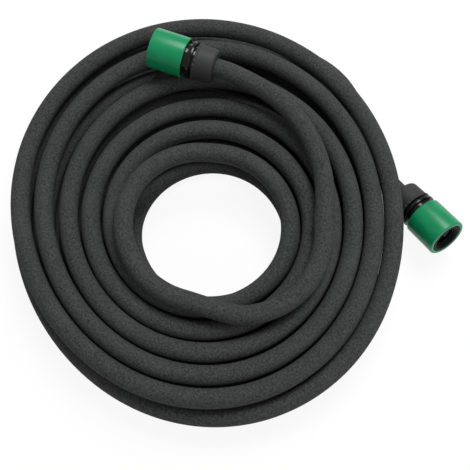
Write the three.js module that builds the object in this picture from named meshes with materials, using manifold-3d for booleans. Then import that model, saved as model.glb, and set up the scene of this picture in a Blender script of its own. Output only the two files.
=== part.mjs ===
// Soaker hose: a porous rubber hose wound in a loose three-layer coil, with a plastic
// quick connector on each end. Millimetres, +Z up, standing on the plane Z = 0.

import * as THREE from 'three';
import { mergeVertices } from 'three/addons/utils/BufferGeometryUtils.js';
import Module from 'manifold-3d';

// ---------- Driving dimensions ----------

// Clearances between separate pieces.
const FIT = 0.3;
const RUNNING_FIT = 0.4;

// Hose.
const HOSE_DIAMETER = 16;
const HOSE_BORE = 12.7;
const FLAT_DEPTH = HOSE_DIAMETER / 10;
const HOSE_GAP = 0.45;

// Coil: radii round the eye, and how far the outline bulges towards BULGE_ANGLE.
const OUTER_RADIUS = 168.8;
const OUTER_SHIFT = 27.9;
const OUTER_OVAL = 9.1;
const EYE_RADIUS = 62.7;
const EYE_SHIFT = 7.3;
const EYE_OVAL = -1.3;
const BULGE_ANGLE = 142.1;
const COIL_LAYERS = 3;
const TURNS_PER_LAYER = 5.345;
const TURNS_ABOVE_TOP = 0.465;
const COIL_START_ANGLE = 115;
const CLIMB_TURNS = 0.5;
const COIL_CENTRE_X = 19.5;
const COIL_CENTRE_Y = -27.1;

// Steps and sides of the wound and turned forms.
const STEPS_PER_TURN = 24;
const COIL_SIDES = 6;
const STRETCH_SIDES = 12;
const STRETCH_STEP = 2 * HOSE_DIAMETER;
const REVOLVE_SEGMENTS = 32;
const EDGE_STEPS = 3;
const SEAL_SEGMENTS = 24;
const SEAL_SIDES = 6;

// Free stretches of hose: points on the centreline by their angle round the coil, their share
// of the way from the eye to the outermost centreline, and their height in hose diameters.
const UPPER_STRETCH = [
  [328.1, 0.229, 3.49],
  [341.5, 0.285, 3.5],
  [354.7, 0.326, 3.51],
  [7.2, 0.348, 3.52],
  [19.2, 0.349, 3.54],
  [31.3, 0.333, 3.55],
  [43.1, 0.311, 3.55],
  [53.9, 0.332, 3.56],
  [63.9, 0.364, 3.58],
  [73.5, 0.392, 3.61],
  [82.5, 0.418, 3.65],
  [91.1, 0.441, 3.71],
  [99.5, 0.459, 3.79],
  [107.6, 0.473, 3.88],
  [115.5, 0.487, 3.97],
];
const LOWER_STRETCH = [
  [102.8, 1.09, 0.41],
  [97.6, 1.114, 0.43],
  [92.4, 1.115, 0.45],
  [87.3, 1.092, 0.46],
  [81.8, 1.052, 0.45],
  [76.2, 1.016, 0.42],
  [70.1, 0.999, 0.4],
  [63.6, 1.022, 0.45],
];

// Where the end of each connector's nut lies round the coil and beyond its outermost
// centreline, where the mouth points, and how far it tips up.
const UPPER_CONNECTOR = { angle: 128.2, beyond: -63.4, heading: 199.9, tip: 0 };
const LOWER_CONNECTOR = { angle: 54.3, beyond: 13.1, heading: -17, tip: 18 };
const COIL_END_LEAD = 9;
const STRAIGHT_HOSE = 30;

// Connector, along its axis from the mouth towards the hose.
const COLLAR_RADIUS = 17.2;
const COLLAR_LENGTH = 30.5;
const COLLAR_WALL = 1.9;
const COLLAR_TRAVEL = 4.2;
const COLLAR_EDGE = 1.1;
const MOUTH_RADIUS = 11.6;
const NOSE_RING_WALL = 1.7;
const NOSE_RING_LENGTH = 5.2;
const NOSE_RING_FACE = 3;
const TUBE_RADIUS = 11.7;
const SOCKET_RADIUS = 9;
const SOCKET_LENGTH = 10.2;
const SEAL_BORE_RADIUS = 7.9;
const SEAL_CORD_RADIUS = 1.25;
const SEAL_SQUEEZE = 0.6;
const SEAL_LEDGE = 1.5;
const SEAL_BORE_LENGTH = 8.5;
const SHOULDER_WIDTH = 2.4;
const SHOULDER_SET_IN = 1;
const WAIST_RADIUS = 13;
const FLANGE_RADIUS = 16.2;
const FLANGE_THICKNESS = 2.6;
const FLANGE_EDGE = 0.4;
const NECK_WALL = 1.8;
const NECK_LENGTH = 10.6;
const NECK_CHAMFER = 1;
const POCKET_WEB = 2.3;
const STEM_RADIUS = 5.8;
const STEM_BARB_DEPTH = 0.6;
const STEM_BARBS = 4;
const STEM_BARB_PITCH = 3;
const STEM_PLAIN = 4.5;
const STEM_BORE_RADIUS = 4.2;

// Locking claws and the cam in the collar that holds them in.
const CLAWS = 4;
const CLAW_WIDTH = 6;
const CLAW_LENGTH = 3.1;
const CLAW_REACH = 1;
const CLAW_LEAD = 1.2;
const CAM_LENGTH = 5.1;

// Return spring.
const SPRING_WIRE_RADIUS = 0.6;
const SPRING_RADIUS = 13.65;
const SPRING_TURNS = 6;
const SPRING_STEPS = 8;
const SPRING_SIDES = 5;

// Grip ring and hose nut.
const GRIP_WALL = 2;
const GRIP_CONE_LIFT = 1.3;
const GRIP_CONE_LENGTH = 4.2;
const GRIP_CONE_DROP = 2.3;
const GRIP_TEETH = 3;
const GRIP_TOOTH_DEPTH = 0.6;
const GRIP_TOOTH_PITCH = 2;
const GRIP_SLOTS = 6;
const GRIP_SLOT_WIDTH = 1.2;
const NUT_LENGTH = 17.5;
const NUT_NECK_GAP = 2;
const NUT_WALL = 2.5;
const NUT_TAPER = 0.5;
const NUT_RIM = 0.6;
const NUT_RIM_WIDTH = 2.4;
const NUT_NOTCHES = 24;
const NUT_NOTCH_DEPTH = 0.6;
const NUT_END_EDGE = 2.4;

// ---------- Sizes that follow ----------

const HOSE_RADIUS = HOSE_DIAMETER / 2;
const LAYER_RISE = HOSE_DIAMETER + HOSE_GAP;
const FIRST_LAYER_HEIGHT = HOSE_RADIUS - FLAT_DEPTH;
const TOP_LAYER_HEIGHT = FIRST_LAYER_HEIGHT + (COIL_LAYERS - 1) * LAYER_RISE;

const NOSE_RING_BORE = TUBE_RADIUS + FIT;
const NOSE_RING_RADIUS = NOSE_RING_BORE + NOSE_RING_WALL;
const TUBE_FRONT = NOSE_RING_FACE + FIT;
const SOCKET_STEP = TUBE_FRONT + SOCKET_LENGTH;
const SEAL_RING_RADIUS = SEAL_BORE_RADIUS - SEAL_SQUEEZE + SEAL_CORD_RADIUS;
const SEAL_GROOVE_RADIUS = SEAL_RING_RADIUS + SEAL_CORD_RADIUS + FIT;
const SEAL_GROOVE_FRONT = SOCKET_STEP + SEAL_LEDGE;
const SEAL_GROOVE_BACK = SEAL_GROOVE_FRONT + 2 * (SEAL_CORD_RADIUS + FIT);
const SOCKET_FLOOR = SOCKET_STEP + SEAL_BORE_LENGTH;

const CHAMBER_RADIUS = COLLAR_RADIUS - COLLAR_WALL;
const SHOULDER_RADIUS = CHAMBER_RADIUS - RUNNING_FIT;
const FLANGE_FRONT = COLLAR_LENGTH + COLLAR_TRAVEL + FIT;
const FLANGE_BACK = FLANGE_FRONT + FLANGE_THICKNESS;
const SHOULDER_BACK = COLLAR_LENGTH - SHOULDER_SET_IN;
const SHOULDER_FRONT = SHOULDER_BACK - SHOULDER_WIDTH;
const CAM_FRONT = NOSE_RING_LENGTH + FIT;
const CAM_BACK = CAM_FRONT + CAM_LENGTH;
const CAM_SLOPE = CLAW_REACH / COLLAR_TRAVEL;
const CAM_BACK_RADIUS = TUBE_RADIUS + RUNNING_FIT;
const CAM_FRONT_RADIUS = CAM_BACK_RADIUS + CAM_SLOPE * CAM_LENGTH;
const COLLAR_BORE = NOSE_RING_RADIUS + RUNNING_FIT;

const POCKET_FLOOR = FLANGE_BACK + POCKET_WEB;
const NECK_END = FLANGE_BACK + NECK_LENGTH;
const GRIP_BORE = HOSE_RADIUS + FIT;
const GRIP_RADIUS = GRIP_BORE + GRIP_WALL;
const POCKET_RADIUS = GRIP_RADIUS + FIT;
const NECK_RADIUS = POCKET_RADIUS + NECK_WALL;
const GRIP_FRONT = POCKET_FLOOR + 2 * FIT;
const GRIP_CONE_FRONT = NECK_END + FIT;
const GRIP_CONE_RADIUS = GRIP_RADIUS + GRIP_CONE_LIFT;
const GRIP_END = GRIP_CONE_FRONT + FIT + GRIP_CONE_LENGTH;
const GRIP_END_RADIUS = GRIP_CONE_RADIUS - GRIP_CONE_DROP;
const HOSE_SEAT = POCKET_FLOOR + FIT;
const STEM_END = POCKET_FLOOR + STEM_PLAIN + STEM_BARBS * STEM_BARB_PITCH;

const NUT_FRONT = FLANGE_BACK + NUT_NECK_GAP;
const NUT_END = NUT_FRONT + NUT_LENGTH;
const NUT_BORE = NECK_RADIUS + RUNNING_FIT;
const NUT_RADIUS = NUT_BORE + NUT_WALL;

// ---------- Solids ----------

const wasm = await Module();
wasm.setup();

function asSolid(geometry) {
  const bare = geometry.clone();
  bare.deleteAttribute('normal');
  bare.deleteAttribute('uv');
  const merged = mergeVertices(bare);
  return new wasm.Manifold(new wasm.Mesh({
    numProp: 3,
    vertProperties: Float32Array.from(merged.attributes.position.array),
    triVerts: Uint32Array.from(merged.index.array),
  }));
}

function asGeometry(solid) {
  const mesh = solid.getMesh();
  const geometry = new THREE.BufferGeometry();
  geometry.setAttribute('position', new THREE.BufferAttribute(mesh.vertProperties, 3));
  geometry.setIndex(new THREE.BufferAttribute(mesh.triVerts, 1));
  return geometry;
}

// A ring turned about Z. The outline is a closed loop of [radius, height] points that runs
// from the mouth to the hose on the outside, and back on the inside.
function turned(outline, segments = REVOLVE_SEGMENTS) {
  const loop = [...outline, outline[0]];
  const points = loop.map(([radius, height]) => new THREE.Vector2(radius, height));
  const geometry = new THREE.LatheGeometry(points, segments);
  geometry.rotateX(Math.PI / 2);
  return geometry;
}

function boxAt(sizeX, sizeY, sizeZ, x, y, z, turn) {
  const geometry = new THREE.BoxGeometry(sizeX, sizeY, sizeZ);
  geometry.translate(x, y, z);
  geometry.rotateZ(turn);
  return geometry;
}

// Points of a rounded outer edge, from fromAngle to toAngle in degrees.
function roundedEdge(centreRadius, centreHeight, edge, fromAngle, toAngle) {
  const points = [];
  for (let step = 0; step <= EDGE_STEPS; step += 1) {
    const degrees = THREE.MathUtils.lerp(fromAngle, toAngle, step / EDGE_STEPS);
    const angle = THREE.MathUtils.degToRad(degrees);
    points.push([centreRadius + edge * Math.cos(angle), centreHeight + edge * Math.sin(angle)]);
  }
  return points;
}

// One unbroken tube through the points, with flat ends. Each ring is square to the path and
// has its first corner on the level side of the path.
function woundTube(points, sides, radius) {
  const vertical = new THREE.Vector3(0, 0, 1);
  const positions = [];
  const faces = [];
  points.forEach((point, ring) => {
    const before = points[Math.max(ring - 1, 0)];
    const after = points[Math.min(ring + 1, points.length - 1)];
    const along = after.clone().sub(before).normalize();
    const level = along.clone().cross(vertical).normalize();
    const upward = level.clone().cross(along);
    for (let side = 0; side < sides; side += 1) {
      const angle = (2 * Math.PI * side) / sides;
      const corner = point.clone();
      corner.addScaledVector(level, radius * Math.cos(angle));
      corner.addScaledVector(upward, radius * Math.sin(angle));
      positions.push(corner.x, corner.y, corner.z);
      if (ring > 0) {
        const next = (side + 1) % sides;
        const near = (ring - 1) * sides;
        const far = ring * sides;
        faces.push(near + side, far + side, near + next);
        faces.push(near + next, far + side, far + next);
      }
    }
  });
  const last = (points.length - 1) * sides;
  for (let side = 1; side < sides - 1; side += 1) {
    faces.push(0, side, side + 1);
    faces.push(last, last + side + 1, last + side);
  }
  const geometry = new THREE.BufferGeometry();
  geometry.setAttribute('position', new THREE.Float32BufferAttribute(positions, 3));
  geometry.setIndex(faces);
  return geometry;
}

// Least gap of a wound tube to itself, measured on points along its centreline.
function leastSelfGap(points, diameter, skippedTurn) {
  const dense = [];
  const samples = 4;
  for (let ring = 0; ring < points.length - 1; ring += 1) {
    for (let sample = 0; sample < samples; sample += 1) {
      dense.push(points[ring].clone().lerp(points[ring + 1], sample / samples));
    }
  }
  let least = Infinity;
  const skipped = skippedTurn * samples;
  for (let first = 0; first < dense.length; first += 1) {
    for (let second = first + skipped; second < dense.length; second += 1) {
      least = Math.min(least, dense[first].distanceTo(dense[second]));
    }
  }
  return least - diameter;
}

// Lays whatever reaches under the floor flat on it.
function restOnFloor(geometry) {
  const position = geometry.attributes.position;
  for (let index = 0; index < position.count; index += 1) {
    position.setZ(index, Math.max(position.getZ(index), 0));
  }
  return geometry;
}

// ---------- Hose ----------

// Radii of the outermost and the innermost centreline at an angle round the coil.
function coilRadii(angle) {
  const fromBulge = THREE.MathUtils.degToRad(angle - BULGE_ANGLE);
  const shifted = Math.cos(fromBulge);
  const oval = Math.cos(2 * fromBulge);
  return {
    outer: OUTER_RADIUS + OUTER_SHIFT * shifted + OUTER_OVAL * oval,
    eye: EYE_RADIUS + EYE_SHIFT * shifted + EYE_OVAL * oval,
  };
}

function roundCoil(angle, radius, height) {
  const turn = THREE.MathUtils.degToRad(angle);
  return new THREE.Vector3(
    COIL_CENTRE_X + radius * Math.cos(turn),
    COIL_CENTRE_Y + radius * Math.sin(turn),
    height,
  );
}

// Centreline of the coil after a number of turns. The spiral runs in and out between the
// outer edge and the eye at a steady rate, and climbs a layer wherever it reverses.
function coilPoint(turns) {
  const angle = COIL_START_ANGLE + 360 * turns;
  const { outer, eye } = coilRadii(angle);
  const sweep = (turns / TURNS_PER_LAYER) % 2;
  const inward = sweep <= 1 ? sweep : 2 - sweep;
  let height = FIRST_LAYER_HEIGHT;
  for (let climb = 1; climb <= COIL_LAYERS; climb += 1) {
    const start = climb * TURNS_PER_LAYER - CLIMB_TURNS / 2;
    height += LAYER_RISE * THREE.MathUtils.smoothstep(turns, start, start + CLIMB_TURNS);
  }
  return roundCoil(angle, THREE.MathUtils.lerp(outer, eye, inward), height);
}

function coilPath() {
  const turns = COIL_LAYERS * TURNS_PER_LAYER + TURNS_ABOVE_TOP;
  const steps = Math.round(turns * STEPS_PER_TURN);
  const points = [];
  for (let step = 0; step <= steps; step += 1) {
    points.push(coilPoint((turns * step) / steps));
  }
  const first = points[0].clone().sub(points[1]).setLength(HOSE_DIAMETER).add(points[0]);
  const end = points[points.length - 1];
  const last = end.clone().sub(points[points.length - 2]).setLength(HOSE_DIAMETER).add(end);
  return [first, ...points, last];
}

const coil = coilPath();

function coilHose() {
  return restOnFloor(woundTube(coil, COIL_SIDES, HOSE_RADIUS));
}

// Points straight out of a coil's end, then straight into the connector's axis.
function stretchPath(coilEnd, coilInner, listed, frame) {
  const outward = coilEnd.clone().sub(coilInner).normalize();
  const fromCoil = [FIT, COIL_END_LEAD].map((distance) => (
    coilEnd.clone().addScaledVector(outward, distance)
  ));
  const onStretch = listed.map(([angle, share, diameters]) => {
    const { outer, eye } = coilRadii(angle);
    const radius = THREE.MathUtils.lerp(eye, outer, share);
    return roundCoil(angle, radius, diameters * HOSE_DIAMETER);
  });
  const toStem = [STRAIGHT_HOSE, (2 * STRAIGHT_HOSE) / 3, STRAIGHT_HOSE / 3, 0].map((distance) => (
    new THREE.Vector3(0, 0, HOSE_SEAT + distance).applyMatrix4(frame)
  ));
  return new THREE.CatmullRomCurve3([...fromCoil, ...onStretch, ...toStem], false, 'centripetal');
}

// A free stretch of hose, opened at its end over the connector's stem.
function hoseStretch(path, frame) {
  const section = new THREE.Shape();
  for (let side = 0; side < STRETCH_SIDES; side += 1) {
    const angle = (2 * Math.PI * side) / STRETCH_SIDES;
    const corner = [HOSE_RADIUS * Math.cos(angle), HOSE_RADIUS * Math.sin(angle)];
    if (side === 0) {
      section.moveTo(...corner);
    } else {
      section.lineTo(...corner);
    }
  }
  section.closePath();
  const steps = Math.ceil(path.getLength() / STRETCH_STEP);
  const hose = restOnFloor(new THREE.ExtrudeGeometry(section, { steps, extrudePath: path }));
  const depth = STEM_END + FIT - HOSE_SEAT;
  const bore = new THREE.CylinderGeometry(
    HOSE_BORE / 2, HOSE_BORE / 2, depth + HOSE_RADIUS, REVOLVE_SEGMENTS,
  );
  bore.rotateX(Math.PI / 2);
  bore.translate(0, 0, HOSE_SEAT + (depth - HOSE_RADIUS) / 2);
  bore.applyMatrix4(frame);
  return asGeometry(asSolid(hose).subtract(asSolid(bore)));
}

// ---------- Connector ----------

// Tube, spring shoulder, flange, neck for the nut and barbed stem in one moulding.
function connectorBody() {
  const outline = [
    [TUBE_RADIUS, TUBE_FRONT],
    [TUBE_RADIUS, SHOULDER_FRONT],
    [SHOULDER_RADIUS, SHOULDER_FRONT],
    [SHOULDER_RADIUS, SHOULDER_BACK],
    [WAIST_RADIUS, SHOULDER_BACK],
    [WAIST_RADIUS, FLANGE_FRONT],
    [FLANGE_RADIUS - FLANGE_EDGE, FLANGE_FRONT],
    [FLANGE_RADIUS, FLANGE_FRONT + FLANGE_EDGE],
    [FLANGE_RADIUS, FLANGE_BACK - FLANGE_EDGE],
    [FLANGE_RADIUS - FLANGE_EDGE, FLANGE_BACK],
    [NECK_RADIUS, FLANGE_BACK],
    [NECK_RADIUS, NECK_END - NECK_CHAMFER],
    [NECK_RADIUS - NECK_CHAMFER, NECK_END],
    [POCKET_RADIUS, NECK_END],
    [POCKET_RADIUS, POCKET_FLOOR],
    [STEM_RADIUS - STEM_BARB_DEPTH, POCKET_FLOOR],
  ];
  for (let barb = 0; barb < STEM_BARBS; barb += 1) {
    const base = POCKET_FLOOR + STEM_PLAIN + barb * STEM_BARB_PITCH;
    outline.push([STEM_RADIUS - STEM_BARB_DEPTH, base]);
    outline.push([STEM_RADIUS, base]);
  }
  outline.push(
    [STEM_RADIUS - STEM_BARB_DEPTH, STEM_END],
    [STEM_BORE_RADIUS, STEM_END],
    [STEM_BORE_RADIUS, SOCKET_FLOOR],
    [SEAL_BORE_RADIUS, SOCKET_FLOOR],
    [SEAL_BORE_RADIUS, SEAL_GROOVE_BACK],
    [SEAL_GROOVE_RADIUS, SEAL_GROOVE_BACK],
    [SEAL_GROOVE_RADIUS, SEAL_GROOVE_FRONT],
    [SEAL_BORE_RADIUS, SEAL_GROOVE_FRONT],
    [SEAL_BORE_RADIUS, SOCKET_STEP],
    [SOCKET_RADIUS, SOCKET_STEP - (SOCKET_RADIUS - SEAL_BORE_RADIUS)],
    [SOCKET_RADIUS, TUBE_FRONT],
  );
  let body = asSolid(turned(outline));
  for (let claw = 0; claw < CLAWS; claw += 1) {
    const window = boxAt(
      TUBE_RADIUS,
      CLAW_WIDTH + 2 * FIT,
      CLAW_LENGTH + 2 * FIT,
      TUBE_RADIUS,
      0,
      clawMiddle(),
      clawAngle(claw),
    );
    body = body.subtract(asSolid(window));
  }
  return asGeometry(body);
}

// Ring that is pressed on the tube's end: it guides the spigot in and stops the collar.
function noseRing() {
  return turned([
    [MOUTH_RADIUS, 0],
    [NOSE_RING_RADIUS - FLANGE_EDGE, 0],
    [NOSE_RING_RADIUS, FLANGE_EDGE],
    [NOSE_RING_RADIUS, NOSE_RING_LENGTH],
    [NOSE_RING_BORE, NOSE_RING_LENGTH],
    [NOSE_RING_BORE, NOSE_RING_FACE],
    [SOCKET_RADIUS + FIT, NOSE_RING_FACE],
  ]);
}

// Collar that is pulled back to let the spigot go. Its cam holds the claws in at rest.
function releaseCollar() {
  const edgeRadius = COLLAR_RADIUS - COLLAR_EDGE;
  return turned([
    [COLLAR_BORE, 0],
    ...roundedEdge(edgeRadius, COLLAR_EDGE, COLLAR_EDGE, -90, 0),
    ...roundedEdge(edgeRadius, COLLAR_LENGTH - COLLAR_EDGE, COLLAR_EDGE, 0, 90),
    [CHAMBER_RADIUS, COLLAR_LENGTH],
    [CHAMBER_RADIUS, CAM_BACK],
    [CAM_BACK_RADIUS, CAM_BACK],
    [CAM_FRONT_RADIUS, CAM_FRONT],
    [COLLAR_BORE, CAM_FRONT],
  ]);
}

function clawAngle(claw) {
  return (2 * Math.PI * (claw + 0.5)) / CLAWS;
}

function clawMiddle() {
  return CAM_FRONT + FIT + FIT + CLAW_LENGTH / 2;
}

// Claw in its window: the back is cut to the collar's cam, and the tip stands in the socket.
function lockingClaw(claw) {
  const front = clawMiddle() - CLAW_LENGTH / 2;
  const back = front + CLAW_LENGTH;
  const tip = SOCKET_RADIUS - CLAW_REACH;
  const camAt = (height) => CAM_BACK_RADIUS + CAM_SLOPE * (CAM_BACK - height) - FIT;
  const ring = turned([
    [tip + CLAW_LEAD, front],
    [camAt(front), front],
    [camAt(back), back],
    [tip, back],
    [tip, front + CLAW_LEAD],
  ]);
  const slice = boxAt(
    TUBE_RADIUS, CLAW_WIDTH, 2 * CLAW_LENGTH, TUBE_RADIUS, 0, clawMiddle(), clawAngle(claw),
  );
  return asGeometry(asSolid(ring).intersect(asSolid(slice)));
}

function socketSeal() {
  const seal = new THREE.TorusGeometry(
    SEAL_RING_RADIUS, SEAL_CORD_RADIUS, SEAL_SIDES, SEAL_SEGMENTS,
  );
  seal.translate(0, 0, (SEAL_GROOVE_FRONT + SEAL_GROOVE_BACK) / 2);
  return seal;
}

function springPath() {
  const start = CAM_BACK + FIT + SPRING_WIRE_RADIUS;
  const end = SHOULDER_FRONT - FIT - SPRING_WIRE_RADIUS;
  const steps = SPRING_TURNS * SPRING_STEPS;
  const points = [];
  for (let step = 0; step <= steps; step += 1) {
    const angle = (2 * Math.PI * step) / SPRING_STEPS;
    const height = THREE.MathUtils.lerp(start, end, step / steps);
    points.push(new THREE.Vector3(
      SPRING_RADIUS * Math.cos(angle), SPRING_RADIUS * Math.sin(angle), height,
    ));
  }
  return points;
}

// Split ring with teeth that the nut's cone closes on the hose.
function gripRing() {
  const outline = [
    [GRIP_RADIUS, GRIP_FRONT],
    [GRIP_RADIUS, GRIP_CONE_FRONT],
    [GRIP_CONE_RADIUS, GRIP_CONE_FRONT + FIT],
    [GRIP_END_RADIUS, GRIP_END],
    [GRIP_BORE, GRIP_END],
  ];
  for (let tooth = 1; tooth <= GRIP_TEETH; tooth += 1) {
    const crest = GRIP_END - tooth * GRIP_TOOTH_PITCH;
    outline.push([GRIP_BORE + GRIP_TOOTH_DEPTH, crest + GRIP_TOOTH_DEPTH]);
    outline.push([GRIP_BORE, crest]);
  }
  outline.push([GRIP_BORE, GRIP_FRONT]);
  let ring = asSolid(turned(outline));
  const slotFront = GRIP_CONE_FRONT - GRIP_TEETH * GRIP_TOOTH_PITCH;
  for (let slot = 0; slot < GRIP_SLOTS; slot += 1) {
    const front = slot === 0 ? 0 : slotFront;
    const length = 2 * (GRIP_END - front);
    const cut = boxAt(
      2 * GRIP_RADIUS,
      GRIP_SLOT_WIDTH,
      length,
      GRIP_RADIUS + HOSE_RADIUS / 2,
      0,
      front + length / 2,
      (2 * Math.PI * slot) / GRIP_SLOTS,
    );
    ring = ring.subtract(asSolid(cut));
  }
  return asGeometry(ring);
}

// Nut with a notched rim at the flange and a rounded end at the hose.
function hoseNut() {
  const rimBack = NUT_FRONT + NUT_RIM_WIDTH;
  const endRadius = NUT_RADIUS - NUT_TAPER - NUT_END_EDGE;
  const coneSlope = GRIP_CONE_DROP / GRIP_CONE_LENGTH;
  const coneAt = (height) => (
    GRIP_CONE_RADIUS + RUNNING_FIT - coneSlope * (height - GRIP_CONE_FRONT - FIT)
  );
  const coneFront = GRIP_CONE_FRONT + FIT - (NUT_BORE - coneAt(GRIP_CONE_FRONT + FIT)) / coneSlope;
  const nut = turned([
    [NUT_BORE, NUT_FRONT],
    [NUT_RADIUS, NUT_FRONT],
    [NUT_RADIUS + NUT_RIM, NUT_FRONT + NUT_RIM],
    [NUT_RADIUS + NUT_RIM, rimBack - NUT_RIM],
    [NUT_RADIUS, rimBack],
    ...roundedEdge(endRadius, NUT_END - NUT_END_EDGE, NUT_END_EDGE, 0, 90),
    [HOSE_RADIUS + RUNNING_FIT, NUT_END],
    [HOSE_RADIUS + RUNNING_FIT, GRIP_END + RUNNING_FIT],
    [coneAt(GRIP_END), GRIP_END],
    [NUT_BORE, coneFront],
  ], 2 * NUT_NOTCHES);
  const position = nut.attributes.position;
  const notchStep = Math.PI / NUT_NOTCHES;
  for (let index = 0; index < position.count; index += 1) {
    const x = position.getX(index);
    const y = position.getY(index);
    const radius = Math.hypot(x, y);
    const notched = Math.round(Math.atan2(y, x) / notchStep) % 2 !== 0;
    if (notched && radius > NUT_RADIUS + NUT_RIM / 2) {
      const inward = (radius - NUT_NOTCH_DEPTH) / radius;
      position.setX(index, x * inward);
      position.setY(index, y * inward);
    }
  }
  return nut;
}

// ---------- Assembly ----------

const FINISH = {
  hose: { color: 0x3c3d3f, roughness: 0.95, metalness: 0 },
  collar: { color: 0x1a7a4e, roughness: 0.3, metalness: 0 },
  moulding: { color: 0x1d1e20, roughness: 0.55, metalness: 0 },
  claw: { color: 0x2b2d30, roughness: 0.5, metalness: 0 },
  seal: { color: 0x101010, roughness: 0.8, metalness: 0 },
  spring: { color: 0xb8bcc0, roughness: 0.35, metalness: 1 },
};

function piece(name, geometry, finish) {
  const faceted = geometry.index ? geometry.toNonIndexed() : geometry;
  faceted.computeVertexNormals();
  const mesh = new THREE.Mesh(faceted, new THREE.MeshStandardMaterial(FINISH[finish]));
  mesh.name = name;
  return mesh;
}

// Group whose +Z runs from the connector's mouth to the hose, and whose +X is level.
function connectorFrame({ angle, beyond, heading, tip }, height) {
  const toMouth = THREE.MathUtils.degToRad(heading);
  const rise = THREE.MathUtils.degToRad(tip);
  const toHose = new THREE.Vector3(
    -Math.cos(rise) * Math.cos(toMouth),
    -Math.cos(rise) * Math.sin(toMouth),
    -Math.sin(rise),
  );
  const level = new THREE.Vector3(0, 0, 1).cross(toHose).normalize();
  const upward = toHose.clone().cross(level);
  const frame = new THREE.Group();
  frame.applyMatrix4(new THREE.Matrix4().makeBasis(level, upward, toHose));
  frame.position.copy(roundCoil(angle, coilRadii(angle).outer + beyond, height));
  frame.translateZ(-NUT_END);
  frame.updateMatrixWorld(true);
  return frame;
}

function fillConnector(frame, side) {
  frame.add(piece(`${side}_connector_body`, connectorBody(), 'moulding'));
  frame.add(piece(`${side}_nose_ring`, noseRing(), 'moulding'));
  frame.add(piece(`${side}_release_collar`, releaseCollar(), 'collar'));
  for (let claw = 0; claw < CLAWS; claw += 1) {
    frame.add(piece(`${side}_locking_claw_${claw + 1}`, lockingClaw(claw), 'claw'));
  }
  frame.add(piece(`${side}_socket_seal`, socketSeal(), 'seal'));
  const spring = woundTube(springPath(), SPRING_SIDES, SPRING_WIRE_RADIUS);
  frame.add(piece(`${side}_return_spring`, spring, 'spring'));
  frame.add(piece(`${side}_grip_ring`, gripRing(), 'moulding'));
  frame.add(piece(`${side}_hose_nut`, hoseNut(), 'moulding'));
  return frame;
}

const upperHeight = TOP_LAYER_HEIGHT + HOSE_RADIUS + COLLAR_RADIUS + FIT;
const lowerHeight = NUT_RADIUS * Math.cos(THREE.MathUtils.degToRad(LOWER_CONNECTOR.tip));
const upperFrame = connectorFrame(UPPER_CONNECTOR, upperHeight);
const lowerFrame = connectorFrame(LOWER_CONNECTOR, lowerHeight);
const upperPath = stretchPath(coil.at(-1), coil.at(-2), UPPER_STRETCH, upperFrame.matrixWorld);
const lowerPath = stretchPath(coil[0], coil[1], LOWER_STRETCH, lowerFrame.matrixWorld);

const soakerHose = new THREE.Group();
soakerHose.name = 'soaker_hose';
soakerHose.add(piece('hose_coil', coilHose(), 'hose'));
soakerHose.add(piece('upper_hose_end', hoseStretch(upperPath, upperFrame.matrixWorld), 'hose'));
soakerHose.add(piece('lower_hose_end', hoseStretch(lowerPath, lowerFrame.matrixWorld), 'hose'));
soakerHose.add(fillConnector(upperFrame, 'upper'));
soakerHose.add(fillConnector(lowerFrame, 'lower'));

const coilGap = leastSelfGap(coil, HOSE_DIAMETER, STEPS_PER_TURN / 2);
const springGap = leastSelfGap(springPath(), 2 * SPRING_WIRE_RADIUS, SPRING_STEPS / 2);
const coilLength = coil.slice(1).reduce((sum, point, ring) => sum + point.distanceTo(coil[ring]), 0);
const hoseLength = coilLength + upperPath.getLength() + lowerPath.getLength();
console.log(`least gap of the coil to itself ${coilGap.toFixed(2)} mm`);
console.log(`least gap of a return spring to itself ${springGap.toFixed(2)} mm`);
console.log(`length of the hose ${(hoseLength / 1000).toFixed(2)} m`);

export default soakerHose;
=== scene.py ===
# Soaker hose: a porous rubber hose in a loose three-layer coil, with a green quick connector
# and a black hose nut on each end. Metres, +Z up, lying on the floor at Z = 0.

import math

import bmesh
import bpy
from mathutils import Matrix, Vector


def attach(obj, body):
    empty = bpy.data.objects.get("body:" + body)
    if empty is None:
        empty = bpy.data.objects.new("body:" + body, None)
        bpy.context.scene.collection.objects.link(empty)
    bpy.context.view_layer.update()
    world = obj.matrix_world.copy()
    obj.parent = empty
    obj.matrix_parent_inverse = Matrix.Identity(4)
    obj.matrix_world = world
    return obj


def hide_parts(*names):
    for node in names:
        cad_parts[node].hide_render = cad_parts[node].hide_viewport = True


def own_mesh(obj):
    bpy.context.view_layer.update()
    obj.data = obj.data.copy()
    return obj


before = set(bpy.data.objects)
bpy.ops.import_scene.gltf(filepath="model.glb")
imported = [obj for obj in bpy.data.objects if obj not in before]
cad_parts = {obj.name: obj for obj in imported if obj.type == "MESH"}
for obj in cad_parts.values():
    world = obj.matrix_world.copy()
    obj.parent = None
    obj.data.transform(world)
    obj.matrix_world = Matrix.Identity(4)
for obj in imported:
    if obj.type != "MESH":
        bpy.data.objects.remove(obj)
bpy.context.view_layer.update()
MM = 0.001


# ---------- Camera ----------
# The hose is seen from above and in front, at 72 degrees over the floor, with the upper
# connector at the far left of the coil.

VIEW_TARGET = Vector((18.86, -26.33, 39.3)) * MM
VIEW_BACK = Vector((0.1986, -0.2367, 0.9511)).normalized()
VIEW_DISTANCE = 0.62

camera_data = bpy.data.cameras.new("camera")
camera_data.lens = 57.3
camera_data.sensor_width = 36
camera_data.shift_x = 0.053
camera_data.shift_y = -0.0064
camera_data.clip_start = 0.01
camera = bpy.data.objects.new("camera", camera_data)
camera.location = VIEW_TARGET + VIEW_DISTANCE * VIEW_BACK
camera.rotation_euler = VIEW_BACK.to_track_quat("Z", "Y").to_euler()
bpy.context.scene.collection.objects.link(camera)
bpy.context.scene.camera = camera


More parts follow.
